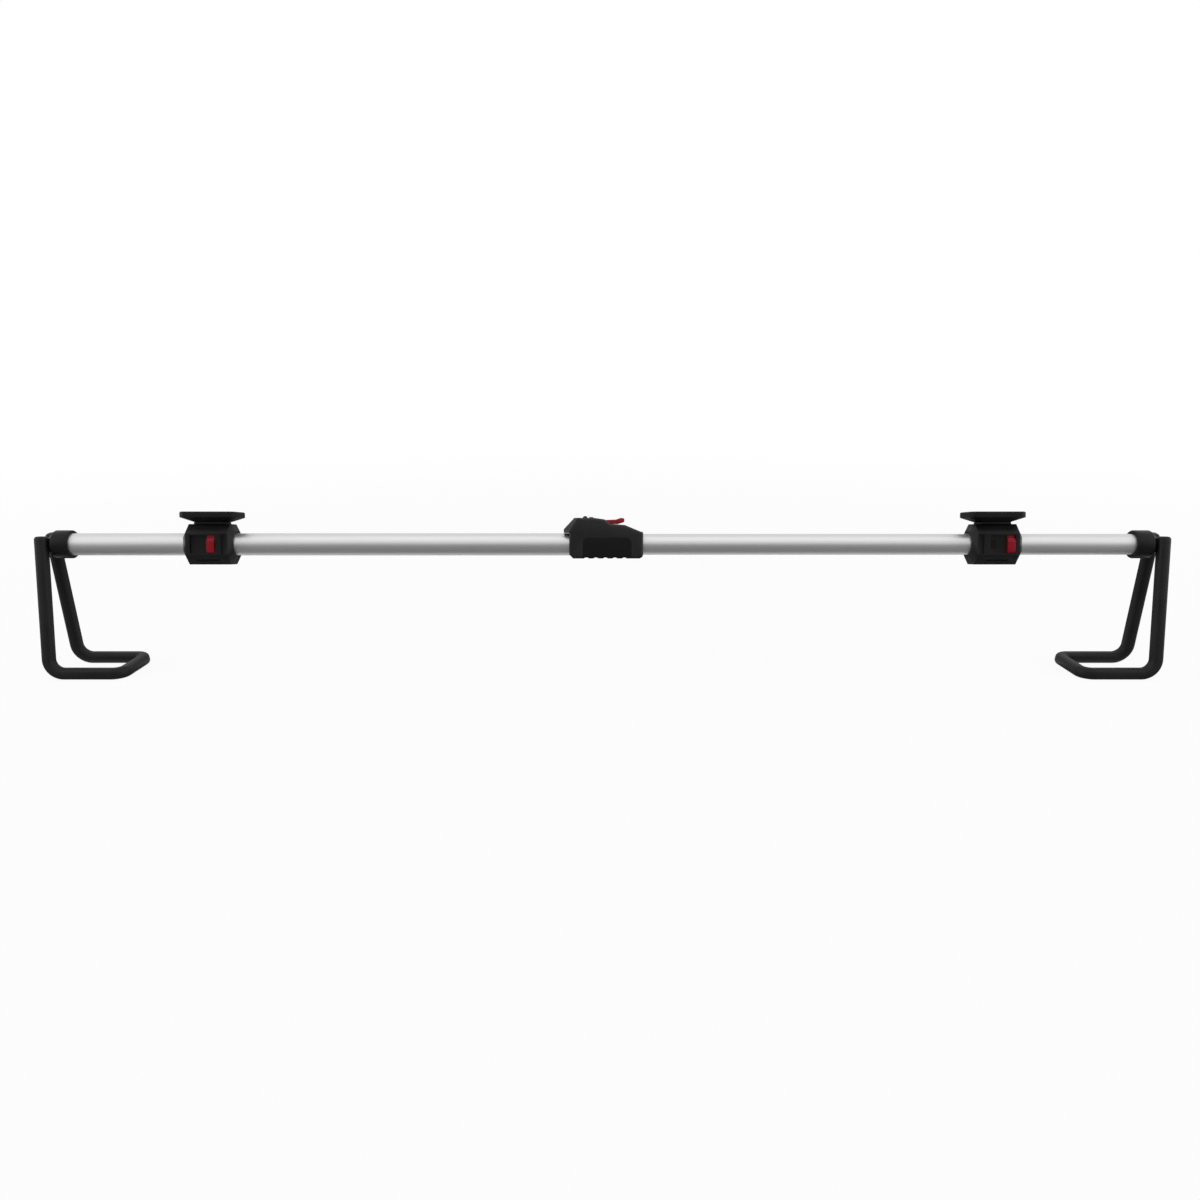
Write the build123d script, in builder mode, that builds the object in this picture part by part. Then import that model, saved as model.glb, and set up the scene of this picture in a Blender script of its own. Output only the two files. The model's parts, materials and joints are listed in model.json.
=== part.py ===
# Telescopic under-bonnet lamp bar: two tubes, a lever lock, two sliding lamp mounts and two loop hooks.
# Millimetres. X runs along the bar, -Y faces the viewer, Z is up and the hook arms lie on Z = 0.
import math
import os

from build123d import *

os.makedirs("parts", exist_ok=True)

# Tubes
outer_tube_dia = 25.4
outer_tube_wall = 0.7
inner_tube_wall = 0.8
tube_running_gap = 0.05
tube_end_x = 627.0
outer_tube_inner_end_x = -12.0
inner_tube_hidden_end_x = -560.0
glide_flange = 4.0
glide_shank = 18.0
glide_lead = 1.0

# Fits
slide_gap = 0.05
press_gap = 0.02
loose_gap = 0.3

# Hooks
hook_x = 636.4
arm_drop = 145.25
leg_rise = 11.0
leg_half_spacing_at_axis = 12.2
arm_half_spacing = 31.7
crossbar_x = 554.1
hook_bend_radius = 17.0
sleeve_width = 13.4
sleeve_corner = 5.2
core_dia = 8.0
sleeve_end_wall = 2.5
yoke_thickness = 8.0
yoke_height = 16.0
yoke_bite = 1.0
plug_flange_dia = 20.0
plug_boss_dia = 9.0
hook_bolt_dia = 5.0
hook_bolt_head_dia = 9.4
hook_bolt_head_height = 2.7
hook_bolt_socket_radius = 1.7
hook_bolt_socket_depth = 1.6
collar_wall = 3.4
collar_length = 22.8
collar_chamfer = 4.4
collar_lip = 0.8
plug_length = 24.0

# Lean of the housing and the lamp mounts about the tube, away from the viewer
lean_angle = 10.5

# Lamp mounts
mount_x = 446.5
mount_top_wall = 10.3
mount_face_wall = 7.3
mount_facet = 10.4
mount_half_length = 28.0
mount_face_half_length = 23.4
mount_end_wall = 1.9
liner_wall = 1.8
liner_half_length = 21.0
slot_near = 9.4
slot_far = 18.5
slot_depth = 3.0
slot_half_height = 10.2
rail_depth = 1.4
rail_reach = 1.2
slider_width = 8.4
slider_proud = 1.3
slider_ridge = 1.0
panel_near = 18.4
panel_recess = 0.8
panel_half_height = 11.0
groove_x = 17.4
groove_width = 1.0
groove_depth = 1.2
facet_groove_half_length = 12.4
facet_groove_width = 2.2
facet_groove_depth = 0.8
mount_screw_dia = 2.5
mount_screw_head_dia = 4.6
mount_screw_head_height = 2.0
mount_screw_length = 24.0
mount_screw_x = 20.4
mount_screw_inset = 4.8
lock_pad_width = 6.0
lock_pad_half_height = 5.0

# Lamp plates
plate_length = 64.0
plate_depth = 40.0
plate_corner = 8.0
plate_rim = 6.4
plate_rim_round = 1.6
plate_taper = 5.5
neck_length = 33.0
neck_depth = 24.0
neck_height = 2.0
steel_thickness = 1.5
steel_margin = 4.0
plate_screw_dia = 4.0
plate_screw_head_dia = 7.6
plate_screw_head_height = 2.4
plate_screw_length = 9.0
plate_screw_pitch = 18.0

# Lock housing
housing_left_x = -37.7
housing_lip_x = -44.0
housing_right_x = 46.0
housing_floor = 3.4
housing_top = 29.8
housing_half_depth = 17.5
housing_lip_height = 14.4
housing_brow = 2.6
housing_brow_run = 3.7
housing_brow_bevel = 6.0
housing_heel = 4.4
housing_shoulder_x = -32.2
housing_crown_end_x = -9.2
housing_cheek_x = 2.0
housing_cheek_height = 28.2
housing_deck_x = 8.5
housing_deck_height = 23.2
housing_knee_x = 25.3
housing_knee_height = 21.8
housing_nose_height = 13.2
housing_edge_round = 3.0
housing_nose_round = 5.0
ridge_x = -19.8
ridge_width = 5.2
ridge_height = 2.2
second_ridge_x = -12.9
second_ridge_height = 1.1
ridge_half_depth = 8.0
grip_left_x = -22.4
grip_right_x = 32.7
grip_top = 7.5
grip_wall = 2.0
grip_corner = 6.0
grip_overrun = 1.0
notch_count = 5
notch_pitch = 10.75
notch_width = 5.8
notch_depth = 1.15
notch_middle_x = 3.25
bush_wall = 2.4
bush_length = 12.0
housing_screw_dia = 2.5
housing_screw_head_dia = 4.6
housing_screw_head_height = 2.0
housing_screw_length = 26.0
housing_screw_sink = 1.0
housing_screw_spots = ((-31.0, 20.5), (-14.5, 22.5), (32.0, 15.2))

# Lock lever and brake shoe
pivot_x = 1.0
pivot_height = 21.5
lever_hub_radius = 5.2
lever_half_width = 6.0
lever_top = 28.2
lever_thickness = 4.6
lever_tip_x = 24.9
lever_tip_rise = 1.9
lever_tip_thickness = 3.2
lever_tip_radius = 1.2
lever_tip_length = 4.2
lever_bend_x = 15.5
lever_heel = 0.6
cam_radius = 5.8
cam_throw = 0.6
pin_dia = 4.0
pin_wall = 3.5
slot_half_width = 6.4
slot_left_x = -8.0
slot_right_x = 9.0
shoe_half_length = 12.0
shoe_half_width = 8.0
shoe_gap = 0.15
shoe_room = 0.8
shoe_skirt = 6.0

axis_height = arm_drop + sleeve_width / 2
lean = math.radians(lean_angle)
up = Vector(0, math.sin(lean), math.cos(lean))
back = Vector(0, math.cos(lean), -math.sin(lean))
axis_point = Vector(0, 0, axis_height)
outer_bore = outer_tube_dia - 2 * outer_tube_wall
inner_tube_dia = outer_bore - 2 * tube_running_gap
inner_bore = inner_tube_dia - 2 * inner_tube_wall
collar_dia = outer_tube_dia + 2 * collar_wall
mount_half_height = outer_tube_dia / 2 + mount_top_wall
mount_half_depth = outer_tube_dia / 2 + mount_face_wall
mount_end_half = outer_tube_dia / 2 + mount_end_wall
mount_screw_z = mount_half_height - mount_screw_inset
housing_bottom = outer_tube_dia / 2 + housing_floor
plate_top = mount_half_height + neck_height + plate_taper + plate_rim
steel_length = plate_length - 2 * steel_margin
steel_depth = plate_depth - 2 * steel_margin
steel_corner = plate_corner - steel_margin / 2


def save(piece, name):
    piece.part.label = name
    export_step(piece.part, f"parts/{name}.step")


# Looks at the bar from the front: sketch x along the bar, sketch y along the lean
def front_plane(x, toward_viewer=0.0):
    return Plane(axis_point + Vector(x, 0, 0) - back * toward_viewer, (1, 0, 0), back * -1)


# Cuts across the bar: sketch x away from the viewer, sketch y along the lean
def end_plane(x):
    return Plane(axis_point + Vector(x, 0, 0), back, (1, 0, 0))


# Looks down on the bar: sketch x along the bar, sketch y away from the viewer
def deck_plane(x, height):
    return Plane(axis_point + Vector(x, 0, 0) + up * height, (1, 0, 0), up)


# A round bar or tube along X from start to end
def ring(start, end, dia, bore=0.0):
    with BuildPart() as piece:
        with BuildSketch(end_plane(start)):
            Circle(dia / 2)
            if bore:
                Circle(bore / 2, mode=Mode.SUBTRACT)
        extrude(amount=end - start)
    return piece


# Tubes
outer_tube = ring(-tube_end_x, outer_tube_inner_end_x, outer_tube_dia, outer_bore)
save(outer_tube, "outer_tube")

inner_tube = ring(inner_tube_hidden_end_x, tube_end_x, inner_tube_dia, inner_bore)
save(inner_tube, "inner_tube")

with BuildPart() as inner_glide:
    with BuildSketch(end_plane(inner_tube_hidden_end_x)):
        Circle(inner_tube_dia / 2)
    extrude(amount=-glide_flange)
    with BuildSketch(end_plane(inner_tube_hidden_end_x)):
        Circle(inner_bore / 2 - press_gap)
    extrude(amount=glide_shank)
    chamfer(inner_glide.edges().filter_by(GeomType.CIRCLE).sort_by(Axis.X)[-1], glide_lead)
save(inner_glide, "inner_glide")


# One hook with the fittings that hold it to its tube end; side is -1 on the left and 1 on the right
def make_hook(name, side, tube_dia, tube_bore):
    leg_slope = (arm_half_spacing - leg_half_spacing_at_axis) / arm_drop
    arm_z = axis_height - arm_drop

    def hook_path(rise):
        top_spacing = leg_half_spacing_at_axis - leg_slope * rise
        front_top = (side * hook_x, -top_spacing, axis_height + rise)
        front_foot = (side * hook_x, -arm_half_spacing, arm_z)
        front_toe = (side * crossbar_x, -arm_half_spacing, arm_z)
        rear_toe = (side * crossbar_x, arm_half_spacing, arm_z)
        rear_foot = (side * hook_x, arm_half_spacing, arm_z)
        rear_top = (side * hook_x, top_spacing, axis_height + rise)
        return front_top, front_foot, front_toe, rear_toe, rear_foot, rear_top

    with BuildPart() as core:
        with BuildLine() as core_line:
            FilletPolyline(*hook_path(leg_rise - sleeve_end_wall), radius=hook_bend_radius)
        core_wire = core_line.wires()[0]
        with BuildSketch(Plane(core_wire @ 0, (1, 0, 0), core_wire % 0)):
            Circle(core_dia / 2)
        sweep(path=core_wire)

    with BuildPart() as yoke:
        with BuildSketch(Plane((side * hook_x, 0, axis_height - yoke_height / 2))):
            Rectangle(yoke_thickness, 2 * leg_half_spacing_at_axis - core_dia + 2 * yoke_bite)
        extrude(amount=yoke_height)
    yoke_block = yoke.part

    with BuildPart() as sleeve:
        with BuildLine() as sleeve_line:
            FilletPolyline(*hook_path(leg_rise), radius=hook_bend_radius)
        sleeve_wire = sleeve_line.wires()[0]
        with BuildSketch(Plane(sleeve_wire @ 0, (1, 0, 0), sleeve_wire % 0)):
            RectangleRounded(sleeve_width, sleeve_width, sleeve_corner)
        sweep(path=sleeve_wire)
        add(core.part, mode=Mode.SUBTRACT)
        add(yoke_block, mode=Mode.SUBTRACT)
        split(bisect_by=Plane.XY, keep=Keep.TOP)

    bolt_start = hook_x - yoke_thickness / 2 - plug_length / 2
    bolt_end = hook_x + yoke_thickness / 2
    with BuildPart() as bolt:
        with BuildSketch(end_plane(side * bolt_start)):
            Circle(hook_bolt_dia / 2)
        extrude(amount=side * (bolt_end - bolt_start))
        with BuildSketch(end_plane(side * bolt_end)):
            Circle(hook_bolt_head_dia / 2)
        extrude(amount=side * hook_bolt_head_height)
        with BuildSketch(end_plane(side * (bolt_end + hook_bolt_head_height))):
            RegularPolygon(hook_bolt_socket_radius, 6)
        extrude(amount=-side * hook_bolt_socket_depth, mode=Mode.SUBTRACT)

    with BuildPart() as drilled_yoke:
        add(yoke_block)
        add(core.part, mode=Mode.SUBTRACT)
        with BuildSketch(end_plane(side * (hook_x - yoke_thickness / 2))):
            Circle(hook_bolt_dia / 2 + press_gap)
        extrude(amount=side * yoke_thickness, mode=Mode.SUBTRACT)

    flange_end = hook_x - yoke_thickness / 2
    collar_outer_x = hook_x - sleeve_width / 2 - loose_gap
    with BuildPart() as plug:
        with BuildSketch(end_plane(side * (flange_end - plug_length))):
            Circle(tube_bore / 2 - press_gap)
        extrude(amount=side * (plug_length - flange_end + tube_end_x))
        with BuildSketch(end_plane(side * tube_end_x)):
            Circle(plug_flange_dia / 2)
        extrude(amount=side * (collar_outer_x - tube_end_x))
        with BuildSketch(end_plane(side * collar_outer_x)):
            Circle(plug_boss_dia / 2)
        extrude(amount=side * (flange_end - collar_outer_x))
        with BuildSketch(end_plane(side * flange_end)):
            Circle(hook_bolt_dia / 2 + press_gap)
        extrude(amount=-side * plug_length, mode=Mode.SUBTRACT)

    with BuildPart() as collar:
        with BuildSketch(end_plane(side * collar_outer_x)):
            Circle(collar_dia / 2)
        extrude(amount=-side * collar_length)
        rims = collar.edges().filter_by(GeomType.CIRCLE).sort_by(Axis.X)
        chamfer(rims[-1] if side > 0 else rims[0], collar_chamfer)
        rims = collar.edges().filter_by(GeomType.CIRCLE).sort_by(Axis.X)
        chamfer(rims[0] if side > 0 else rims[-1], collar_lip)
        with BuildSketch(end_plane(side * tube_end_x)):
            Circle(tube_dia / 2 + press_gap)
        extrude(amount=-side * collar_length, mode=Mode.SUBTRACT)
        with BuildSketch(end_plane(side * collar_outer_x)):
            Circle(plug_flange_dia / 2 + press_gap)
        extrude(amount=-side * collar_length, mode=Mode.SUBTRACT)

    save(core, f"{name}_hook_core")
    save(sleeve, f"{name}_hook_sleeve")
    save(drilled_yoke, f"{name}_hook_yoke")
    save(bolt, f"{name}_hook_bolt")
    save(plug, f"{name}_end_plug")
    save(collar, f"{name}_end_collar")


make_hook("left", -1, outer_tube_dia, outer_bore)
make_hook("right", 1, inner_tube_dia, inner_bore)


# The eight corners of a mount section, as half depth, half height and facet
def octagon(half_depth, half_height, facet):
    inner_depth = half_depth - facet
    inner_height = half_height - facet
    return [
        (half_depth, -inner_height),
        (half_depth, inner_height),
        (inner_depth, half_height),
        (-inner_depth, half_height),
        (-half_depth, inner_height),
        (-half_depth, -inner_height),
        (-inner_depth, -half_height),
        (inner_depth, -half_height),
    ]


# One lamp mount; inward is 1 where the middle of the bar lies toward +X and -1 where it lies toward -X
def make_mount(name, x, inward, tube_dia, slider_at_near_end):
    liner_bore = tube_dia + 2 * slide_gap
    liner_dia = liner_bore + 2 * liner_wall
    socket_dia = liner_dia + 2 * slide_gap
    slot_mid = inward * (slot_near - slot_far) / 2
    slot_length = slot_near + slot_far
    face = front_plane(x, mount_half_depth)
    slot_floor = mount_half_depth - slot_depth
    end_facet = mount_end_half - (mount_half_height - mount_facet) * mount_end_half / mount_half_height

    with BuildPart() as body:
        with BuildSketch(end_plane(x - mount_face_half_length)):
            with BuildLine():
                Polyline(*octagon(mount_half_depth, mount_half_height, mount_facet), close=True)
            make_face()
        extrude(amount=2 * mount_face_half_length)
        for end in (-1, 1):
            with BuildSketch(end_plane(x + end * mount_face_half_length)):
                with BuildLine():
                    Polyline(*octagon(mount_half_depth, mount_half_height, mount_facet), close=True)
                make_face()
            with BuildSketch(end_plane(x + end * mount_half_length)):
                with BuildLine():
                    Polyline(*octagon(mount_end_half, mount_end_half, end_facet), close=True)
                make_face()
            loft(ruled=True)
        with BuildSketch(end_plane(x - mount_half_length)):
            Circle(tube_dia / 2 + loose_gap)
        extrude(amount=2 * mount_half_length, mode=Mode.SUBTRACT)
        with BuildSketch(end_plane(x - liner_half_length - slide_gap)):
            Circle(socket_dia / 2)
        extrude(amount=2 * (liner_half_length + slide_gap), mode=Mode.SUBTRACT)
        with BuildSketch(face):
            with Locations((slot_mid, 0)):
                Rectangle(slot_length, 2 * slot_half_height)
        extrude(amount=-slot_depth, mode=Mode.SUBTRACT)
        with BuildSketch(front_plane(x, slot_floor)):
            with Locations((slot_mid, 0)):
                Rectangle(slot_length, 2 * (slot_half_height + rail_reach))
        extrude(amount=rail_depth, mode=Mode.SUBTRACT)
        with BuildSketch(face):
            with Locations((inward * (panel_near + mount_face_half_length) / 2, 0)):
                Rectangle(mount_face_half_length - panel_near, 2 * panel_half_height)
        extrude(amount=-panel_recess, mode=Mode.SUBTRACT)
        with BuildSketch(face):
            with Locations((inward * groove_x, 0)):
                Rectangle(groove_width, 2 * panel_half_height)
        extrude(amount=-groove_depth, mode=Mode.SUBTRACT)
        facet_mid = (mount_half_depth - mount_facet / 2, mount_half_height - mount_facet / 2)
        with BuildSketch(end_plane(x - facet_groove_half_length)):
            for height_sign in (-1, 1):
                with Locations((-facet_mid[0], height_sign * facet_mid[1])):
                    Rectangle(facet_groove_width, 2 * facet_groove_depth, rotation=height_sign * 45)
        extrude(amount=2 * facet_groove_half_length, mode=Mode.SUBTRACT)
        pad_x = inward * slot_near - inward * slider_width / 2
        with BuildSketch(front_plane(x, slot_floor)):
            with Locations((pad_x, 0)):
                Rectangle(lock_pad_width, 2 * lock_pad_half_height)
        extrude(amount=-(slot_floor - liner_dia / 4), mode=Mode.SUBTRACT)
        screw_seat = front_plane(x, -mount_half_depth + mount_screw_head_height + mount_facet / 2)
        with BuildSketch(screw_seat):
            with GridLocations(2 * mount_screw_x, 2 * mount_screw_z, 2, 2):
                Circle(mount_screw_head_dia / 2 + loose_gap)
        extrude(amount=-mount_half_depth, mode=Mode.SUBTRACT)
        with BuildSketch(screw_seat):
            with GridLocations(2 * mount_screw_x, 2 * mount_screw_z, 2, 2):
                Circle(mount_screw_dia / 2 + press_gap)
        extrude(amount=mount_screw_length, mode=Mode.SUBTRACT)
        with BuildSketch(deck_plane(x, mount_half_height)):
            with GridLocations(plate_screw_pitch, 0, 2, 1):
                Circle(plate_screw_dia / 2 + press_gap)
        extrude(amount=-(plate_screw_length - neck_height - plate_taper / 2), mode=Mode.SUBTRACT)

    split_plane = front_plane(x, 0)
    with BuildPart() as body_front:
        add(body.part)
        split(bisect_by=split_plane, keep=Keep.TOP)
    with BuildPart() as body_rear:
        add(body.part)
        split(bisect_by=split_plane, keep=Keep.BOTTOM)

    with BuildPart() as screws:
        with BuildSketch(screw_seat):
            with GridLocations(2 * mount_screw_x, 2 * mount_screw_z, 2, 2):
                Circle(mount_screw_dia / 2)
        extrude(amount=mount_screw_length)
        with BuildSketch(screw_seat):
            with GridLocations(2 * mount_screw_x, 2 * mount_screw_z, 2, 2):
                Circle(mount_screw_head_dia / 2)
        extrude(amount=-mount_screw_head_height)

    liner = ring(x - liner_half_length, x + liner_half_length, liner_dia, liner_bore)

    with BuildPart() as lock_pad:
        with BuildSketch(front_plane(x, slot_floor - loose_gap)):
            with Locations((pad_x, 0)):
                Rectangle(lock_pad_width - 2 * press_gap, 2 * (lock_pad_half_height - press_gap))
        extrude(amount=-(slot_floor - loose_gap - liner_dia / 4))
        with BuildSketch(end_plane(x - mount_half_length)):
            Circle(socket_dia / 2)
        extrude(amount=2 * mount_half_length, mode=Mode.SUBTRACT)

    slider_end = slot_near if slider_at_near_end else -slot_far
    slider_mid = inward * (slider_end - math.copysign(slider_width / 2 + loose_gap, slider_end))
    with BuildPart() as slider:
        with BuildSketch(front_plane(x, slot_floor + loose_gap / 2)):
            with Locations((slider_mid, 0)):
                Rectangle(slider_width, 2 * (slot_half_height + rail_reach - loose_gap))
        extrude(amount=rail_depth - loose_gap)
        with BuildSketch(front_plane(x, slot_floor + loose_gap / 2)):
            with Locations((slider_mid, 0)):
                Rectangle(slider_width, 2 * (slot_half_height - loose_gap))
        extrude(amount=slot_depth + slider_proud - loose_gap / 2)
        chamfer(slider.faces().sort_by(Axis(axis_point, back))[0].edges(), slider_ridge)

    with BuildPart() as plate:
        with BuildSketch(deck_plane(x, mount_half_height)):
            Rectangle(neck_length, neck_depth)
        extrude(amount=neck_height)
        with BuildSketch(deck_plane(x, mount_half_height + neck_height)):
            RectangleRounded(neck_length, neck_depth, plate_corner / 2)
        with BuildSketch(deck_plane(x, mount_half_height + neck_height + plate_taper)):
            RectangleRounded(plate_length, plate_depth, plate_corner)
        loft()
        with BuildSketch(deck_plane(x, plate_top - plate_rim)):
            RectangleRounded(plate_length, plate_depth, plate_corner)
        extrude(amount=plate_rim)
        fillet(plate.faces().sort_by(Axis(axis_point, up))[-1].edges(), plate_rim_round)
        with BuildSketch(deck_plane(x, plate_top)):
            RectangleRounded(steel_length, steel_depth, steel_corner)
        extrude(amount=-steel_thickness, mode=Mode.SUBTRACT)
        screw_top = mount_half_height + neck_height + plate_taper / 2
        with BuildSketch(deck_plane(x, screw_top)):
            with GridLocations(plate_screw_pitch, 0, 2, 1):
                Circle(plate_screw_head_dia / 2 + press_gap)
        extrude(amount=plate_top - screw_top, mode=Mode.SUBTRACT)
        with BuildSketch(deck_plane(x, screw_top)):
            with GridLocations(plate_screw_pitch, 0, 2, 1):
                Circle(plate_screw_dia / 2 + press_gap)
        extrude(amount=-plate_taper, mode=Mode.SUBTRACT)

    with BuildPart() as plate_screws:
        with BuildSketch(deck_plane(x, screw_top)):
            with GridLocations(plate_screw_pitch, 0, 2, 1):
                Circle(plate_screw_dia / 2)
        extrude(amount=-plate_screw_length)
        with BuildSketch(deck_plane(x, screw_top)):
            with GridLocations(plate_screw_pitch, 0, 2, 1):
                Circle(plate_screw_head_dia / 2)
        extrude(amount=plate_screw_head_height)

    with BuildPart() as steel:
        with BuildSketch(deck_plane(x, plate_top - steel_thickness)):
            RectangleRounded(steel_length - 2 * press_gap, steel_depth - 2 * press_gap, steel_corner)
        extrude(amount=steel_thickness)

    save(body_front, f"{name}_mount_front")
    save(body_rear, f"{name}_mount_rear")
    save(screws, f"{name}_mount_screws")
    save(liner, f"{name}_mount_liner")
    save(lock_pad, f"{name}_lock_pad")
    save(slider, f"{name}_lock_slider")
    save(plate, f"{name}_lamp_plate")
    save(plate_screws, f"{name}_plate_screws")
    save(steel, f"{name}_plate_steel")


make_mount("left", -mount_x, 1, outer_tube_dia, True)
make_mount("right", mount_x, -1, inner_tube_dia, False)

# Lock housing: one moulded outline, split into a front and a rear shell with a rubber grip let in below
brow_slope = (housing_top - housing_lip_height - housing_brow) / (housing_shoulder_x - housing_lip_x)
brow_meets_side = housing_top - brow_slope * (housing_shoulder_x - housing_left_x)
shell_depth = 2 * housing_half_depth


# The brow over the tube, a given way in from the face of the shell: its lip draws back toward the face
def brow_outline(inset):
    share = inset / housing_brow_bevel if inset < housing_brow_bevel else 1.0
    lip_x = housing_left_x + (housing_lip_x - housing_left_x) * share
    shoulder_x = housing_shoulder_x + housing_brow_run * (1 - share)
    lip_top = housing_lip_height + housing_brow * share
    return [
        (housing_shoulder_x + housing_brow_run, housing_lip_height - housing_brow / 2),
        (lip_x, housing_lip_height - housing_brow / 2),
        (lip_x, lip_top),
        (shoulder_x, housing_top),
        (housing_shoulder_x + 2 * housing_brow_run, housing_top),
    ]


with BuildPart() as housing_body:
    with BuildSketch(front_plane(0, housing_half_depth)):
        with BuildLine():
            Polyline(
                (housing_left_x + housing_heel, -housing_bottom),
                (housing_left_x, housing_heel - housing_bottom),
                (housing_left_x, brow_meets_side),
                (housing_shoulder_x, housing_top),
                (housing_crown_end_x, housing_top),
                (housing_cheek_x, housing_cheek_height),
                (housing_deck_x, housing_deck_height),
                (housing_knee_x, housing_knee_height),
                (housing_right_x, housing_nose_height),
                (housing_right_x, -housing_bottom),
                close=True,
            )
        make_face()
    extrude(amount=-shell_depth)
    across = housing_body.edges().filter_by(Axis(axis_point, back))
    low_right = across.group_by(Axis(axis_point, up))[0].sort_by(Axis.X)[-1]
    fillet(low_right, housing_nose_round)
    shell_ends = housing_body.faces().sort_by(Axis(axis_point, back))
    fillet(shell_ends[0].edges() + shell_ends[-1].edges(), housing_edge_round)

with BuildPart() as housing:
    add(housing_body.part)
    brow_ends = housing_half_depth - housing_brow_bevel
    brow_runs = ((-brow_ends, brow_ends), (brow_ends, housing_half_depth), (-brow_ends, -housing_half_depth))
    for brow_run in brow_runs:
        for depth in brow_run:
            with BuildSketch(front_plane(0, depth)):
                with BuildLine():
                    Polyline(*brow_outline(housing_half_depth - abs(depth)), close=True)
                make_face()
        loft(ruled=True)
    for x, height in ((ridge_x, ridge_height), (second_ridge_x, second_ridge_height)):
        with BuildSketch(front_plane(x, ridge_half_depth)):
            with Locations((0, housing_top)):
                SlotOverall(ridge_width, 2 * height)
        extrude(amount=-2 * ridge_half_depth)

with BuildPart() as grip_blank:
    with BuildSketch(front_plane(0, housing_half_depth + grip_overrun)):
        with Locations(((grip_left_x + grip_right_x) / 2, grip_top - housing_bottom)):
            RectangleRounded(grip_right_x - grip_left_x, 2 * housing_bottom, grip_corner)
    extrude(amount=-(shell_depth + 2 * grip_overrun))
    with BuildSketch(end_plane(grip_left_x)):
        with Locations((0, grip_wall)):
            Rectangle(shell_depth - 2 * grip_wall, 2 * housing_bottom)
    extrude(amount=grip_right_x - grip_left_x, mode=Mode.SUBTRACT)
    add(housing_body.part, mode=Mode.INTERSECT)

notch_radius = (notch_width**2 / 4 + notch_depth**2) / (2 * notch_depth)
with BuildPart() as grip:
    add(grip_blank.part)
    with BuildSketch(front_plane(notch_middle_x, housing_half_depth)):
        with Locations((0, notch_depth - housing_bottom - notch_radius)):
            with GridLocations(notch_pitch, 0, notch_count, 1):
                Circle(notch_radius)
    extrude(amount=-shell_depth, mode=Mode.SUBTRACT)
save(grip, "housing_grip")

bush_bore = inner_tube_dia + 2 * slide_gap
bush_dia = bush_bore + 2 * bush_wall
pin_length = shell_depth - 2 * pin_wall
shoe_top = pivot_height - cam_radius - cam_throw - shoe_gap
shoe_bottom = shoe_top - shoe_skirt
shell_screw_seat = front_plane(0, -housing_half_depth + housing_screw_head_height + housing_screw_sink)
with BuildPart() as shell:
    add(housing.part)
    add(grip_blank.part, mode=Mode.SUBTRACT)
    with BuildSketch(end_plane(housing_lip_x)):
        Circle(outer_tube_dia / 2 + press_gap)
    extrude(amount=outer_tube_inner_end_x - housing_lip_x, mode=Mode.SUBTRACT)
    with BuildSketch(end_plane(outer_tube_inner_end_x)):
        Circle(inner_tube_dia / 2 + loose_gap)
    extrude(amount=housing_right_x - outer_tube_inner_end_x, mode=Mode.SUBTRACT)
    with BuildSketch(end_plane(housing_right_x - bush_length)):
        Circle(bush_dia / 2 + press_gap)
    extrude(amount=bush_length, mode=Mode.SUBTRACT)
    with BuildSketch(end_plane(pivot_x - shoe_half_length - loose_gap)):
        with Locations((0, shoe_top + shoe_room)):
            Rectangle(
                2 * (shoe_half_width + loose_gap),
                shoe_skirt + shoe_room + loose_gap,
                align=(Align.CENTER, Align.MAX),
            )
    extrude(amount=2 * (shoe_half_length + loose_gap), mode=Mode.SUBTRACT)
    with BuildSketch(end_plane(slot_left_x)):
        with Locations((0, housing_top)):
            Rectangle(2 * slot_half_width, 2 * (housing_top - shoe_top))
    extrude(amount=slot_right_x - slot_left_x, mode=Mode.SUBTRACT)
    with BuildSketch(front_plane(0, pin_length / 2)):
        with Locations((pivot_x, pivot_height)):
            Circle(pin_dia / 2 + press_gap)
    extrude(amount=-pin_length, mode=Mode.SUBTRACT)
    with BuildSketch(shell_screw_seat):
        with Locations(*housing_screw_spots):
            Circle(housing_screw_head_dia / 2 + loose_gap)
    extrude(amount=-housing_half_depth, mode=Mode.SUBTRACT)
    with BuildSketch(shell_screw_seat):
        with Locations(*housing_screw_spots):
            Circle(housing_screw_dia / 2 + press_gap)
    extrude(amount=housing_screw_length, mode=Mode.SUBTRACT)

with BuildPart() as shell_front:
    add(shell.part)
    split(bisect_by=front_plane(0), keep=Keep.TOP)
save(shell_front, "housing_front")

with BuildPart() as shell_rear:
    add(shell.part)
    split(bisect_by=front_plane(0), keep=Keep.BOTTOM)
save(shell_rear, "housing_rear")

with BuildPart() as housing_screws:
    with BuildSketch(shell_screw_seat):
        with Locations(*housing_screw_spots):
            Circle(housing_screw_dia / 2)
    extrude(amount=housing_screw_length)
    with BuildSketch(shell_screw_seat):
        with Locations(*housing_screw_spots):
            Circle(housing_screw_head_dia / 2)
    extrude(amount=-housing_screw_head_height)
save(housing_screws, "housing_screws")

guide_bush = ring(housing_right_x - bush_length, housing_right_x, bush_dia, bush_bore)
save(guide_bush, "guide_bush")

with BuildPart() as brake_shoe:
    with BuildSketch(end_plane(pivot_x - shoe_half_length)):
        with Locations((0, (shoe_top + shoe_bottom) / 2)):
            Rectangle(2 * shoe_half_width, shoe_skirt)
        Circle(inner_tube_dia / 2 + loose_gap, mode=Mode.SUBTRACT)
    extrude(amount=2 * shoe_half_length)
save(brake_shoe, "brake_shoe")

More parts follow.
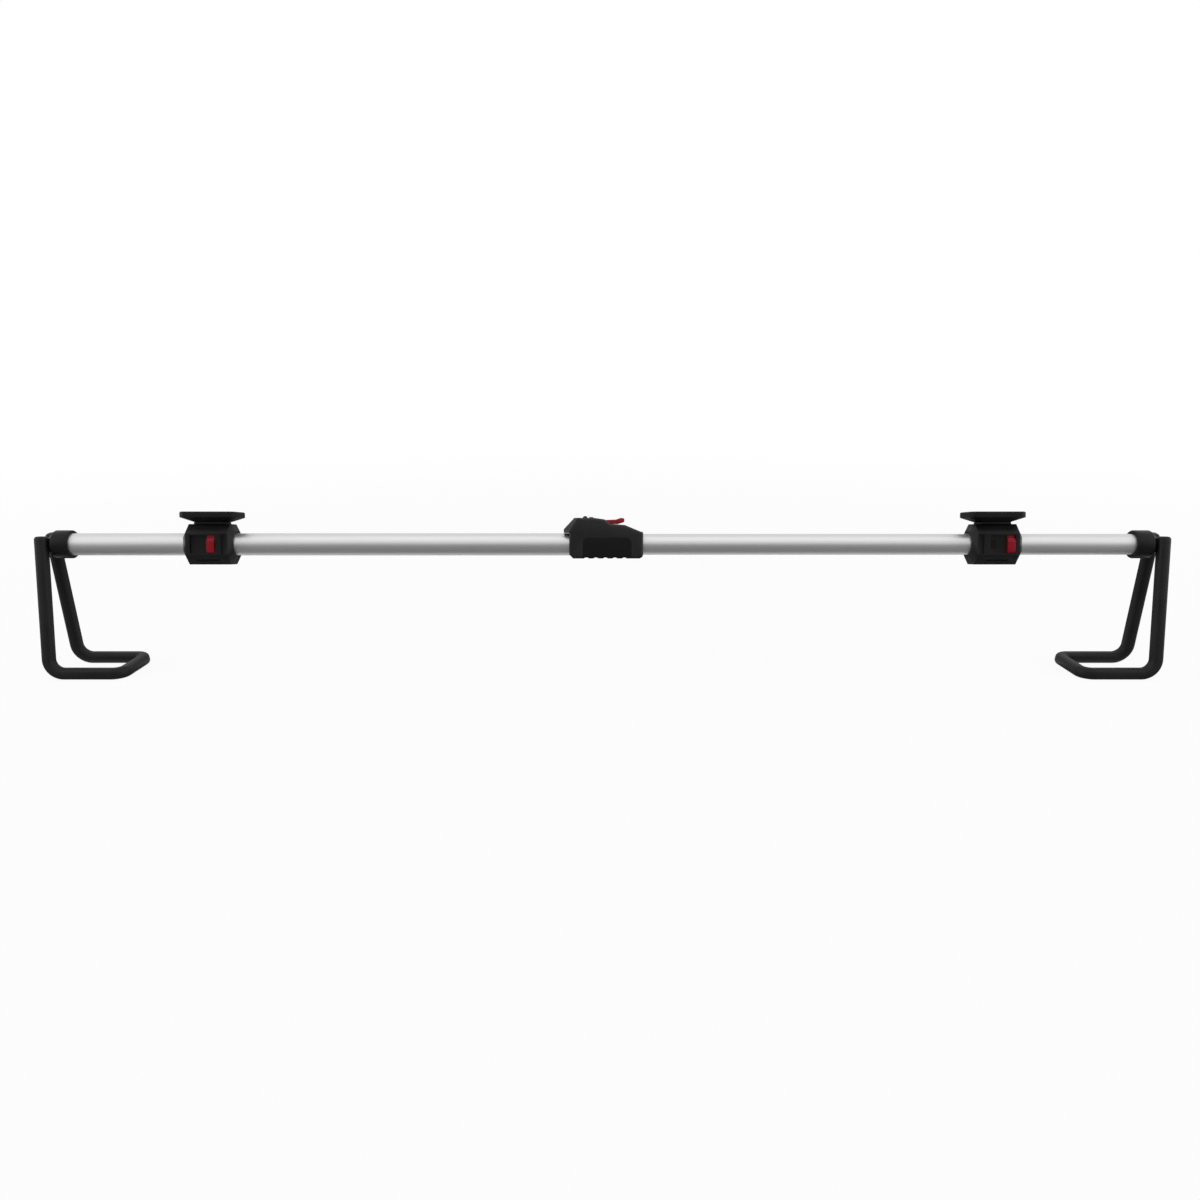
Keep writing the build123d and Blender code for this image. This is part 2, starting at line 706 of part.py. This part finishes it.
with BuildPart() as lock_lever:
    with BuildSketch(front_plane(0, lever_half_width)) as lever_side:
        with BuildLine():
            Polyline(
                (pivot_x, lever_top - lever_heel),
                (lever_bend_x, lever_top),
                (lever_tip_x - lever_tip_length, lever_top + lever_tip_rise),
                (lever_tip_x, lever_top + lever_tip_rise - lever_heel),
                (lever_tip_x, lever_top + lever_tip_rise - lever_tip_thickness),
                (lever_bend_x + lever_tip_length / 2, lever_top - lever_thickness),
                (pivot_x, lever_top - lever_thickness),
                close=True,
            )
        make_face()
        fillet(lever_side.vertices().sort_by(Axis.X)[-2:], lever_tip_radius)
        with Locations((pivot_x, pivot_height)):
            Circle(lever_hub_radius)
        with Locations((pivot_x, pivot_height - cam_throw)):
            Circle(cam_radius)
        with Locations((pivot_x, pivot_height)):
            Circle(pin_dia / 2 + slide_gap, mode=Mode.SUBTRACT)
    extrude(amount=-2 * lever_half_width)
save(lock_lever, "lock_lever")

with BuildPart() as lever_pin:
    with BuildSketch(front_plane(0, pin_length / 2)):
        with Locations((pivot_x, pivot_height)):
            Circle(pin_dia / 2)
    extrude(amount=-pin_length)
save(lever_pin, "lever_pin")
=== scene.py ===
import json
import math
import bmesh
import bpy
from mathutils import Matrix, Vector


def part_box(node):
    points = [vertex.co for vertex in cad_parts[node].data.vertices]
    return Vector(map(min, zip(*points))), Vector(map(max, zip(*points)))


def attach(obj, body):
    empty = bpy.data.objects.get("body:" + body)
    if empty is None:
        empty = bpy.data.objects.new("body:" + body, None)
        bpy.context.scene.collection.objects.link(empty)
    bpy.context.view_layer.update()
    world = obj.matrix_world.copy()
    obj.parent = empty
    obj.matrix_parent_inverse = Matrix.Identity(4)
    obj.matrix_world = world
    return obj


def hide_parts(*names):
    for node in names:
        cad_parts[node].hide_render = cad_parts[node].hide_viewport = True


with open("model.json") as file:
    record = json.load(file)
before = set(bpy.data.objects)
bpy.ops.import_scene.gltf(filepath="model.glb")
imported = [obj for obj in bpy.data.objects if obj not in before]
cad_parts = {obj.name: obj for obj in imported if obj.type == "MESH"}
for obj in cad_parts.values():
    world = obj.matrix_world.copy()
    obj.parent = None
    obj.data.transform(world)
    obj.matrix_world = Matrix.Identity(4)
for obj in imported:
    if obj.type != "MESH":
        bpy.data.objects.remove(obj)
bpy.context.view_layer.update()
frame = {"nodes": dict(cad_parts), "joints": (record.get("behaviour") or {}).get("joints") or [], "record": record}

print("frame loaded:", len(frame["nodes"]), "nodes")

mm = 0.001
white = (1.0, 1.0, 1.0, 1.0)
slotOf = {p["node"]: p["material_slot"] for p in frame["record"]["subparts"]}
bodyOf = {n: b for b, nodes in frame["record"]["behaviour"]["bodies"].items() for n in nodes}
jointAxis = {j["name"]: j["axis"] for j in frame["joints"]}
leanUp = Vector(jointAxis["shoe_lift"])  # the housing and the mounts lean back from the vertical
tubeLow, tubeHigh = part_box("outer_tube")
axisHeight = (tubeLow.z + tubeHigh.z) / 2


# sRGB hex to the linear colour that the shader sockets take
def toLinear(hexColour):
    channels = [int(hexColour[i:i + 2], 16) / 255 for i in (1, 3, 5)]
    linear = [c / 12.92 if c <= 0.04045 else ((c + 0.055) / 1.055) ** 2.4 for c in channels]
    return (*linear, 1.0)


# pattern scale, in repeats per metre, of a pattern whose real size is given in mm
def perMetre(sizeMm):
    return 1000 / sizeMm


# adds one node, sets its properties and inputs, and links whatever is a socket
def addNode(tree, kind, settings=None, inputs=None):
    node = tree.nodes.new(kind)
    for name, value in (settings or {}).items():
        setattr(node, name, value)
    for name, value in (inputs or {}).items():
        if isinstance(value, bpy.types.NodeSocket):
            tree.links.new(value, node.inputs[name])
        else:
            node.inputs[name].default_value = value
    return node


# the sockets of a Mix node share their names between its kinds, so the colour ones go by number
mixSockets = {"share": 0, "first": 6, "second": 7, "result": 2}


# from the dark to the light colour of a finish, by a share from 0 to 1
def mixColours(tree, share, s):
    mix = addNode(tree, "ShaderNodeMix", {"data_type": "RGBA"}, {
        mixSockets["share"]: share,
        mixSockets["first"]: toLinear(s["dark"]),
        mixSockets["second"]: toLinear(s["light"])})
    return mix.outputs[mixSockets["result"]]


def startMaterial(name):
    material = bpy.data.materials.new(name)
    material.use_nodes = True
    tree = material.node_tree
    tree.nodes.clear()
    return material, tree


def endMaterial(tree, surface):
    addNode(tree, "ShaderNodeOutputMaterial", inputs={"Surface": surface})


# drawn tube, bead blasted and clear anodised: soft wide highlights with faint lines along the draw
tubeFinish = {"dark": "#c6c6c6", "light": "#dadada", "roughLow": 0.43, "roughHigh": 0.47,
              "lineWidthMm": 0.5, "lineLengthMm": 60, "lineDetail": 3.0, "lineRoughness": 0.6,
              "bumpMm": 0.002, "bumpStrength": 0.25}


def anodisedAluminium():
    s = tubeFinish
    material, tree = startMaterial("anodised_aluminium")
    coords = addNode(tree, "ShaderNodeTexCoord")
    across = perMetre(s["lineWidthMm"])
    stretch = addNode(tree, "ShaderNodeMapping", {"vector_type": "POINT"}, {
        "Vector": coords.outputs["Object"], "Scale": (perMetre(s["lineLengthMm"]), across, across)})
    lines = addNode(tree, "ShaderNodeTexNoise", inputs={
        "Vector": stretch.outputs["Vector"], "Scale": 1.0,
        "Detail": s["lineDetail"], "Roughness": s["lineRoughness"]})
    rough = addNode(tree, "ShaderNodeMapRange", inputs={
        "Value": lines.outputs["Fac"], "To Min": s["roughLow"], "To Max": s["roughHigh"]})
    bump = addNode(tree, "ShaderNodeBump", inputs={
        "Height": lines.outputs["Fac"], "Strength": s["bumpStrength"], "Distance": s["bumpMm"] * mm})
    shader = addNode(tree, "ShaderNodeBsdfPrincipled", inputs={
        "Base Color": mixColours(tree, lines.outputs["Fac"], s), "Metallic": 1.0,
        "Roughness": rough.outputs["Result"], "Normal": bump.outputs["Normal"]})
    endMaterial(tree, shader.outputs["BSDF"])
    return material


# zinc plated steel: pale grey with a faint spangle
zincFinish = {"dark": "#8d9095", "light": "#b9bcc0", "spangleMm": 1.5, "roughLow": 0.28, "roughHigh": 0.42}


def zincPlatedSteel():
    s = zincFinish
    material, tree = startMaterial("zinc_plated_steel")
    coords = addNode(tree, "ShaderNodeTexCoord")
    spangle = addNode(tree, "ShaderNodeTexVoronoi", inputs={
        "Vector": coords.outputs["Object"], "Scale": perMetre(s["spangleMm"])})
    rough = addNode(tree, "ShaderNodeMapRange", inputs={
        "Value": spangle.outputs["Distance"], "To Min": s["roughLow"], "To Max": s["roughHigh"]})
    shader = addNode(tree, "ShaderNodeBsdfPrincipled", inputs={
        "Base Color": mixColours(tree, spangle.outputs["Color"], s), "Metallic": 1.0,
        "Roughness": rough.outputs["Result"]})
    endMaterial(tree, shader.outputs["BSDF"])
    return material


# the spark-eroded grain of the moulds is about 0.15 mm; it is drawn coarser so that it shows
mouldedFinishes = {
    "black_abs": {"dark": "#0f0f10", "light": "#19191b", "roughLow": 0.40, "roughHigh": 0.52, "ior": 1.54,
                  "gloss": 0.3, "grainMm": 0.7, "cloudMm": 30, "bumpMm": 0.05, "bumpStrength": 0.35},
    "black_nylon": {"dark": "#101011", "light": "#1b1b1d", "roughLow": 0.36, "roughHigh": 0.50, "ior": 1.53,
                    "gloss": 0.22, "grainMm": 0.9, "cloudMm": 25, "bumpMm": 0.04, "bumpStrength": 0.3},
    "grip_rubber": {"dark": "#0b0b0c", "light": "#141415", "roughLow": 0.58, "roughHigh": 0.72, "ior": 1.50,
                    "gloss": 0.14, "grainMm": 0.9, "cloudMm": 18, "bumpMm": 0.08, "bumpStrength": 0.5},
    "hook_rubber": {"dark": "#131314", "light": "#202022", "roughLow": 0.46, "roughHigh": 0.60, "ior": 1.50,
                    "gloss": 0.2, "grainMm": 1.2, "cloudMm": 35, "bumpMm": 0.08, "bumpStrength": 0.4},
    "red_abs": {"dark": "#7e0618", "light": "#960a22", "roughLow": 0.30, "roughHigh": 0.40, "ior": 1.54,
                "gloss": 0.16, "grainMm": 0.8, "cloudMm": 15, "bumpMm": 0.03, "bumpStrength": 0.2},
    # lock lever: a lighter, glossier copy of red_abs, painted highlight
    "lever_abs_painted_highlight": {"dark": "#8c0a1e", "light": "#a8142c", "roughLow": 0.28, "roughHigh": 0.38, "ior": 1.54,
                  "gloss": 0.3, "grainMm": 0.8, "cloudMm": 15, "bumpMm": 0.03, "bumpStrength": 0.2},
    # mounts, lamp plates and end collars: darker copies of black_abs and black_nylon, painted shade
    "mount_abs_painted_shade": {"dark": "#0a0a0b", "light": "#121214", "roughLow": 0.42, "roughHigh": 0.54, "ior": 1.54,
                  "gloss": 0.18, "grainMm": 0.7, "cloudMm": 24, "bumpMm": 0.05, "bumpStrength": 0.35},
    "plate_abs_painted_shade": {"dark": "#0b0b0c", "light": "#141416", "roughLow": 0.44, "roughHigh": 0.56, "ior": 1.54,
                  "gloss": 0.16, "grainMm": 0.7, "cloudMm": 24, "bumpMm": 0.05, "bumpStrength": 0.35},
    "collar_nylon_painted_shade": {"dark": "#0a0a0b", "light": "#131315", "roughLow": 0.38, "roughHigh": 0.50, "ior": 1.53,
                     "gloss": 0.16, "grainMm": 0.9, "cloudMm": 25, "bumpMm": 0.04, "bumpStrength": 0.3},
    "black_steel": {"dark": "#0f0f10", "light": "#18181a", "roughLow": 0.42, "roughHigh": 0.55, "ior": 1.50,
                    "gloss": 0.25, "grainMm": 1.4, "cloudMm": 20, "bumpMm": 0.06, "bumpStrength": 0.5},
}
# what all the moulded finishes share: their two noises and the part of each that is spread out
mouldNoise = {"grainDetail": 2.0, "grainRoughness": 0.55, "cloudDetail": 3.0, "cloudRoughness": 0.5,
              "speckleLow": 0.1, "speckleHigh": 0.4, "cloudLow": 0.3, "cloudHigh": 0.7}


# a moulded plastic, rubber or paint: speckled colour, uneven gloss and a grain in the mould
def mouldedMaterial(name, s):
    n = mouldNoise
    material, tree = startMaterial(name)
    coords = addNode(tree, "ShaderNodeTexCoord")
    grain = addNode(tree, "ShaderNodeTexNoise", inputs={
        "Vector": coords.outputs["Object"], "Scale": perMetre(s["grainMm"]),
        "Detail": n["grainDetail"], "Roughness": n["grainRoughness"]})
    cloud = addNode(tree, "ShaderNodeTexNoise", inputs={
        "Vector": coords.outputs["Object"], "Scale": perMetre(s["cloudMm"]),
        "Detail": n["cloudDetail"], "Roughness": n["cloudRoughness"]})
    mixed = addNode(tree, "ShaderNodeMath", {"operation": "MULTIPLY"}, {
        0: grain.outputs["Fac"], 1: cloud.outputs["Fac"]})
    speckle = addNode(tree, "ShaderNodeMapRange", inputs={
        "Value": mixed.outputs["Value"], "From Min": n["speckleLow"], "From Max": n["speckleHigh"]})
    rough = addNode(tree, "ShaderNodeMapRange", inputs={
        "Value": cloud.outputs["Fac"], "From Min": n["cloudLow"], "From Max": n["cloudHigh"],
        "To Min": s["roughLow"], "To Max": s["roughHigh"]})
    bump = addNode(tree, "ShaderNodeBump", inputs={
        "Height": grain.outputs["Fac"], "Strength": s["bumpStrength"], "Distance": s["bumpMm"] * mm})
    shader = addNode(tree, "ShaderNodeBsdfPrincipled", inputs={
        "Base Color": mixColours(tree, speckle.outputs["Result"], s), "Roughness": rough.outputs["Result"],
        "IOR": s["ior"], "Specular IOR Level": s["gloss"], "Normal": bump.outputs["Normal"]})
    endMaterial(tree, shader.outputs["BSDF"])
    return material


finishes = {slot: mouldedMaterial(slot, s) for slot, s in mouldedFinishes.items()}
finishes["tube_aluminium"] = anodisedAluminium()
finishes["zinc_steel"] = zincPlatedSteel()
# pieces that look other than the rest of their slot: darker copies of the black plastics on the mounts, plates and
# collars (painted shade), a lighter copy of the red on the lever (painted highlight), and paint over the steel on
# the yoke
ownFinishesAndPaintedLight = {"mount_front": "mount_abs_painted_shade", "mount_rear": "mount_abs_painted_shade", "lamp_plate": "plate_abs_painted_shade",
               "end_collar": "collar_nylon_painted_shade", "hook_yoke": "black_steel", "lock_lever": "lever_abs_painted_highlight"}


def finishOf(node):
    for ending, finish in ownFinishesAndPaintedLight.items():
        if node.endswith(ending):
            return finishes[finish]
    return finishes[slotOf[node]]


for node, obj in frame["nodes"].items():
    obj.data.materials.clear()
    obj.data.materials.append(finishOf(node))
print("materials:", len(finishes))


def vertsIn(geom):
    return [g for g in geom if isinstance(g, bmesh.types.BMVert)]


def edgesIn(geom):
    return [g for g in geom if isinstance(g, bmesh.types.BMEdge)]


arcProfile = 0.5  # the bevel profile that is an arc of a circle


# rounds the edges, or the corners of a flat face, to a radius in mm
def roundOff(bm, geom, roundMm, segments, affect="EDGES"):
    bmesh.ops.bevel(bm, geom=geom, offset=roundMm * mm, offset_type="OFFSET", affect=affect,
                    segments=segments, profile=arcProfile, clamp_overlap=True, material=-1)


# turns a finished bmesh into an object of the scene
def makeObject(bm, name, material):
    mesh = bpy.data.meshes.new(name)
    bm.to_mesh(mesh)
    bm.free()
    mesh.materials.append(material)
    obj = bpy.data.objects.new(name, mesh)
    bpy.context.scene.collection.objects.link(obj)
    return obj


smoothAngle = 40  # degrees; flatter edges than this are shaded smooth


# turns a finished bmesh into a piece that stands for a CAD node and rides on its body
def finishPiece(bm, name, node):
    piece = makeObject(bm, name, finishOf(node))
    piece.data.shade_smooth()
    piece.data.set_sharp_from_angle(angle=math.radians(smoothAngle))
    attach(piece, bodyOf[node])
    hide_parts(node)


# radius in mm that the mould or the press leaves on the sharp edges of each rigid piece
edgeRounds = {"housing_front": 0.5, "housing_rear": 0.5, "housing_grip": 0.4, "guide_bush": 0.4}
for side in ("left", "right"):
    edgeRounds.update({
        f"{side}_mount_front": 0.6, f"{side}_mount_rear": 0.6, f"{side}_lamp_plate": 0.6,
        f"{side}_end_collar": 0.5, f"{side}_plate_steel": 0.2})
# how the edges of a CAD mesh are found: points nearer than this merge, flat faces join, angles in degrees
edgeSearch = {"mergeMm": 0.002, "flatAngle": 0.5, "sharpAngle": 28, "segments": 3}


# a copy of a CAD node with its edges rounded, reshaped first where a function is given
def roundEdges(node, roundMm, reshape=None):
    s = edgeSearch
    bm = bmesh.new()
    bm.from_mesh(frame["nodes"][node].data)
    bmesh.ops.remove_doubles(bm, verts=bm.verts, dist=s["mergeMm"] * mm)
    bmesh.ops.dissolve_limit(bm, angle_limit=math.radians(s["flatAngle"]), verts=bm.verts, edges=bm.edges)
    if reshape:
        reshape(bm)
    sharpFrom = math.radians(s["sharpAngle"])
    sharp = [e for e in bm.edges if len(e.link_faces) == 2 and e.calc_face_angle(0) > sharpFrom]
    roundOff(bm, sharp, roundMm, s["segments"])
    finishPiece(bm, node + "_moulded", node)


for node, roundMm in edgeRounds.items():
    roundEdges(node, roundMm)
print("edges rounded on", len(edgeRounds), "pieces")

# lock lever: from the bend to the end its underside swells to a blunt thumb tip; mm
leverTip = {"bendX": 15.5, "endX": 24.9, "swell": 1.5, "round": 0.6}


def swellLeverTip(bm):
    s = leverTip
    bm.normal_update()
    underside = [v for v in bm.verts if v.co.x > s["bendX"] * mm and v.normal.dot(leanUp) < 0]
    for v in underside:
        share = (v.co.x / mm - s["bendX"]) / (s["endX"] - s["bendX"])
        v.co -= leanUp * (share * s["swell"] * mm)


roundEdges("lock_lever", leverTip["round"], swellLeverTip)
print("lever made")

# lock slider: a thumb piece on a flat rail, with a long slope above its crown and a short one below; mm
sliderShape = {"rail": 1.1, "halfHeight": 9.9, "crownTop": 3.0, "slopeTop": 7.6, "slopeDrop": 2.6,
               "blockTop": 7.9, "crownFoot": 7.4, "footDrop": 2.0, "round": 0.4, "segments": 3}


# draws the slider's profile across its slot and extrudes it over the width of the CAD slider
def makeLockSlider(side):
    s = sliderShape
    node = f"{side}_lock_slider"
    toViewer = Vector((1, 0, 0)).cross(leanUp)
    points = [v.co for v in frame["nodes"][node].data.vertices]
    left, right = min(p.x for p in points), max(p.x for p in points)
    heights = [p.dot(leanUp) for p in points]
    depths = [p.dot(toViewer) for p in points]
    middle = (min(heights) + max(heights)) / 2
    reach = (max(heights) - min(heights)) / 2 / mm
    floor = min(depths)
    crown = (max(depths) - floor) / mm
    profile = [
        (-reach, 0), (-reach, s["rail"]), (-s["halfHeight"], s["rail"]),
        (-s["halfHeight"], crown - s["footDrop"]), (-s["crownFoot"], crown), (s["crownTop"], crown),
        (s["slopeTop"], crown - s["slopeDrop"]), (s["blockTop"], s["rail"]),
        (reach, s["rail"]), (reach, 0)]
    bm = bmesh.new()
    corners = []
    for up, out in profile:
        place = Vector((left, 0, 0)) + leanUp * (middle + up * mm) + toViewer * (floor + out * mm)
        corners.append(bm.verts.new(place))
    grown = bmesh.ops.extrude_face_region(bm, geom=[bm.faces.new(corners)])["geom"]
    bmesh.ops.translate(bm, vec=(right - left, 0, 0), verts=vertsIn(grown))
    bmesh.ops.recalc_face_normals(bm, faces=bm.faces)
    roundOff(bm, bm.edges[:], s["round"], s["segments"])
    finishPiece(bm, node + "_moulded", node)


for side in ("left", "right"):
    makeLockSlider(side)
print("lock sliders made")

# rubber cover of a hook: a rounded square drawn round the loop, from one leg top to the other; mm
hookCover = {"reach": 82.3, "legRise": 11.0, "halfAtAxis": 12.2, "halfFoot": 31.7, "heelBend": 17.0,
             "toeBend": 11.5, "bendSteps": 14, "width": 13.4, "corner": 5.2, "cornerSteps": 6,
             "endRound": 3.4, "endSteps": 5}


# the corners of the loop's middle line, from the top of the front leg to the top of the rear one
def hookRoute(node, sign):
    s = hookCover
    half = s["width"] / 2 * mm
    low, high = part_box(node)
    outerX = high.x if sign > 0 else low.x
    legX = outerX - sign * half
    toeX = legX - sign * s["reach"] * mm
    armZ = low.z + half
    topZ = axisHeight + s["legRise"] * mm
    halfFoot, halfAtAxis = s["halfFoot"] * mm, s["halfAtAxis"] * mm
    halfTop = halfAtAxis - (halfFoot - halfAtAxis) * (topZ - axisHeight) / (axisHeight - armZ)
    return [Vector(p) for p in (
        (legX, -halfTop, topZ), (legX, -halfFoot, armZ), (toeX, -halfFoot, armZ),
        (toeX, halfFoot, armZ), (legX, halfFoot, armZ), (legX, halfTop, topZ))]


# the cover's section, square to the first leg at its top
def startSection(bm, place, way):
    s = hookCover
    bmesh.ops.create_grid(bm, x_segments=1, y_segments=1, size=s["width"] / 2 * mm)
    roundOff(bm, bm.verts[:], s["corner"], s["cornerSteps"], "VERTICES")
    across = Vector((1, 0, 0))
    turn = Matrix((across, way.cross(across), way)).transposed().to_4x4()
    bmesh.ops.transform(bm, matrix=Matrix.Translation(place) @ turn, verts=bm.verts)


def makeHookCover(side, sign):
    s = hookCover
    node = f"{side}_hook_sleeve"
    route = hookRoute(node, sign)
    ways = [(b - a).normalized() for a, b in zip(route, route[1:])]
    bends = [s[name] * mm for name in ("heelBend", "toeBend", "toeBend", "heelBend")]
    bm = bmesh.new()
    startSection(bm, route[0], ways[0])
    ring = list(bm.edges)
    startFace = list(bm.faces)[0]
    here = route[0]
    for i, way in enumerate(ways):
        corner = route[i + 1]
        last = i == len(ways) - 1
        runEnd = corner if last else corner - way * bends[i]
        grown = bmesh.ops.extrude_edge_only(bm, edges=ring)["geom"]
        ring = edgesIn(grown)
        bmesh.ops.translate(bm, vec=runEnd - here, verts=vertsIn(grown))
        if last:
            break
        out = ways[i + 1]
        swept = bmesh.ops.spin(
            bm, geom=ring, cent=runEnd + out * bends[i], axis=way.cross(out), angle=math.pi / 2,
            steps=s["bendSteps"], use_merge=False, use_duplicate=False)
        ring = edgesIn(swept["geom_last"])
        here = corner + out * bends[i]
    endFace = bmesh.ops.edgeloop_fill(bm, edges=ring)["faces"][0]
    bmesh.ops.recalc_face_normals(bm, faces=bm.faces)
    roundOff(bm, list(startFace.edges) + list(endFace.edges), s["endRound"], s["endSteps"])
    for v in bm.verts:
        v.co.z = max(v.co.z, 0.0)  # the rubber flattens where it stands on the floor
    finishPiece(bm, f"{side}_hook_cover", node)


for side, sign in (("left", -1), ("right", 1)):
    makeHookCover(side, sign)
print("hook covers made")

# the stage: a pale floor that stays white behind the object and still takes its shadow; metres
stageLook = {"floorSize": 14.0, "floor": "#f4f4f4", "shareNear": 0.93, "shareFar": 1.0,
             "near": 0.9, "far": 3.0, "worldGrey": 0.5}


# 1 for rays from the camera and for what metal and gloss mirror, 0 for the light that falls on things
def whiteForEyes(tree):
    path = addNode(tree, "ShaderNodeLightPath")
    mirrored = addNode(tree, "ShaderNodeMath", {"operation": "MAXIMUM"}, {
        0: path.outputs["Is Glossy Ray"], 1: path.outputs["Is Transmission Ray"]})
    seen = addNode(tree, "ShaderNodeMath", {"operation": "MAXIMUM"}, {
        0: path.outputs["Is Camera Ray"], 1: mirrored.outputs["Value"]})
    return seen.outputs["Value"]


# paper that glows white to the eye, a little less near the object so that the shadow shows
def floorPaper():
    s = stageLook
    material, tree = startMaterial("floor_paper")
    paper = addNode(tree, "ShaderNodeBsdfDiffuse", inputs={"Color": toLinear(s["floor"])})
    glow = addNode(tree, "ShaderNodeEmission", inputs={"Color": white, "Strength": 1.0})
    coords = addNode(tree, "ShaderNodeTexCoord")
    away = addNode(tree, "ShaderNodeVectorMath", {"operation": "LENGTH"}, {0: coords.outputs["Object"]})
    fade = addNode(tree, "ShaderNodeMapRange", inputs={
        "Value": away.outputs["Value"], "From Min": s["near"], "From Max": s["far"],
        "To Min": s["shareNear"], "To Max": s["shareFar"]})
    share = addNode(tree, "ShaderNodeMath", {"operation": "MULTIPLY"}, {
        0: whiteForEyes(tree), 1: fade.outputs["Result"]})
    mix = addNode(tree, "ShaderNodeMixShader", inputs={
        0: share.outputs["Value"], 1: paper.outputs["BSDF"], 2: glow.outputs["Emission"]})
    endMaterial(tree, mix.outputs["Shader"])
    return material


def makeFloor():
    bm = bmesh.new()
    bmesh.ops.create_grid(bm, x_segments=1, y_segments=1, size=stageLook["floorSize"] / 2)
    floor = makeObject(bm, "floor", floorPaper())


def makeWorld():
    world = bpy.data.worlds.new("studio")
    bpy.context.scene.world = world
    world.use_nodes = True
    tree = world.node_tree
    tree.nodes.clear()
    strength = addNode(tree, "ShaderNodeMapRange", inputs={
        "Value": whiteForEyes(tree), "To Min": stageLook["worldGrey"], "To Max": 1.0})
    sky = addNode(tree, "ShaderNodeBackground", inputs={
        "Color": white, "Strength": strength.outputs["Result"]})
    addNode(tree, "ShaderNodeOutputWorld", inputs={"Surface": sky.outputs["Background"]})


# dark flags before and behind the bar, seen only in reflections: black plastic stays black and the
# tube gets its dark band; each lies just over the floor and turns up at its far edge; metres
flagLook = {"width": 3.6, "far": 1.6, "lift": 0.001, "grey": 0.28}
flags = [
    {"name": "front_flag", "side": -1, "near": -0.02, "height": 0.62},
    {"name": "rear_flag", "side": 1, "near": 0.12, "height": 0.4},
]


def flagCloth(name):
    material, tree = startMaterial(name)
    cloth = addNode(tree, "ShaderNodeEmission", inputs={"Color": white, "Strength": flagLook["grey"]})
    endMaterial(tree, cloth.outputs["Emission"])
    return material


def makeFlag(s):
    near, far = s["side"] * s["near"], s["side"] * flagLook["far"]
    bm = bmesh.new()
    bmesh.ops.create_grid(bm, x_segments=1, y_segments=1, size=1.0)
    bmesh.ops.scale(bm, vec=(flagLook["width"] / 2, abs(far - near) / 2, 1), verts=bm.verts)
    bmesh.ops.translate(bm, vec=(0, (near + far) / 2, flagLook["lift"]), verts=bm.verts)
    farEdge = max(bm.edges, key=lambda e: s["side"] * (e.verts[0].co.y + e.verts[1].co.y))
    grown = bmesh.ops.extrude_edge_only(bm, edges=[farEdge])["geom"]
    bmesh.ops.translate(bm, vec=(0, 0, s["height"]), verts=vertsIn(grown))
    flag = makeObject(bm, s["name"], flagCloth(s["name"] + "_cloth"))
    flag.visible_camera = False
    flag.visible_diffuse = False
    flag.visible_shadow = False


# soft boxes: place, what it points at, size in metres and power; the fills stand at either end of the bar
lampRig = [{"name": "overhead", "place": (0.0, -0.55, 1.9), "aim": (0.0, 0.0, 0.15),
            "size": (3.0, 1.6), "watts": 6}]
for name, sign in (("leftFill", -1), ("rightFill", 1)):
    lampRig.append({"name": name, "place": (sign * 2.4, -0.4, 0.8), "aim": (sign * 0.2, 0.0, 0.12),
                    "size": (1.0, 1.0), "watts": 13})


def makeLamp(s):
    lamp = bpy.data.lights.new(s["name"], "AREA")
    lamp.shape = "RECTANGLE"
    lamp.size, lamp.size_y = s["size"]
    lamp.energy = s["watts"]
    obj = bpy.data.objects.new(s["name"], lamp)
    obj.location = s["place"]
    obj.rotation_euler = (Vector(s["aim"]) - Vector(s["place"])).to_track_quat("-Z", "Y").to_euler()
    bpy.context.scene.collection.objects.link(obj)


# the picture is taken with a 28 mm lens from a little above the bar; the picture's size, the tube's row
# and the bar's middle are in pixels of the photograph
cameraView = {"lens": 28.0, "sensor": 36.0, "distance": 1.0727, "elevation": 10.5,
              "pictureSize": 1200, "tubeRow": 544.3, "middleColumn": 602.5}


def makeCamera():
    s = cameraView
    centre = s["pictureSize"] / 2
    focal = s["lens"] / s["sensor"] * s["pictureSize"]
    rise = math.radians(s["elevation"])
    pitch = rise + math.atan((centre - s["tubeRow"]) / focal)
    sideways = (centre - s["middleColumn"]) / focal * s["distance"]
    camera = bpy.data.cameras.new("camera")
    camera.lens = s["lens"]
    camera.sensor_width = s["sensor"]
    camera.sensor_fit = "HORIZONTAL"
    obj = bpy.data.objects.new("camera", camera)
    obj.location = (sideways, -s["distance"] * math.cos(rise), axisHeight + s["distance"] * math.sin(rise))
    obj.rotation_euler = (math.pi / 2 - pitch, 0, 0)
    bpy.context.scene.collection.objects.link(obj)
    bpy.context.scene.camera = obj


makeFloor()
for flag in flags:
    makeFlag(flag)
makeWorld()
for lamp in lampRig:
    makeLamp(lamp)
makeCamera()
bpy.context.scene.view_settings.view_transform = "Standard"
print("stage, lamps and camera set")
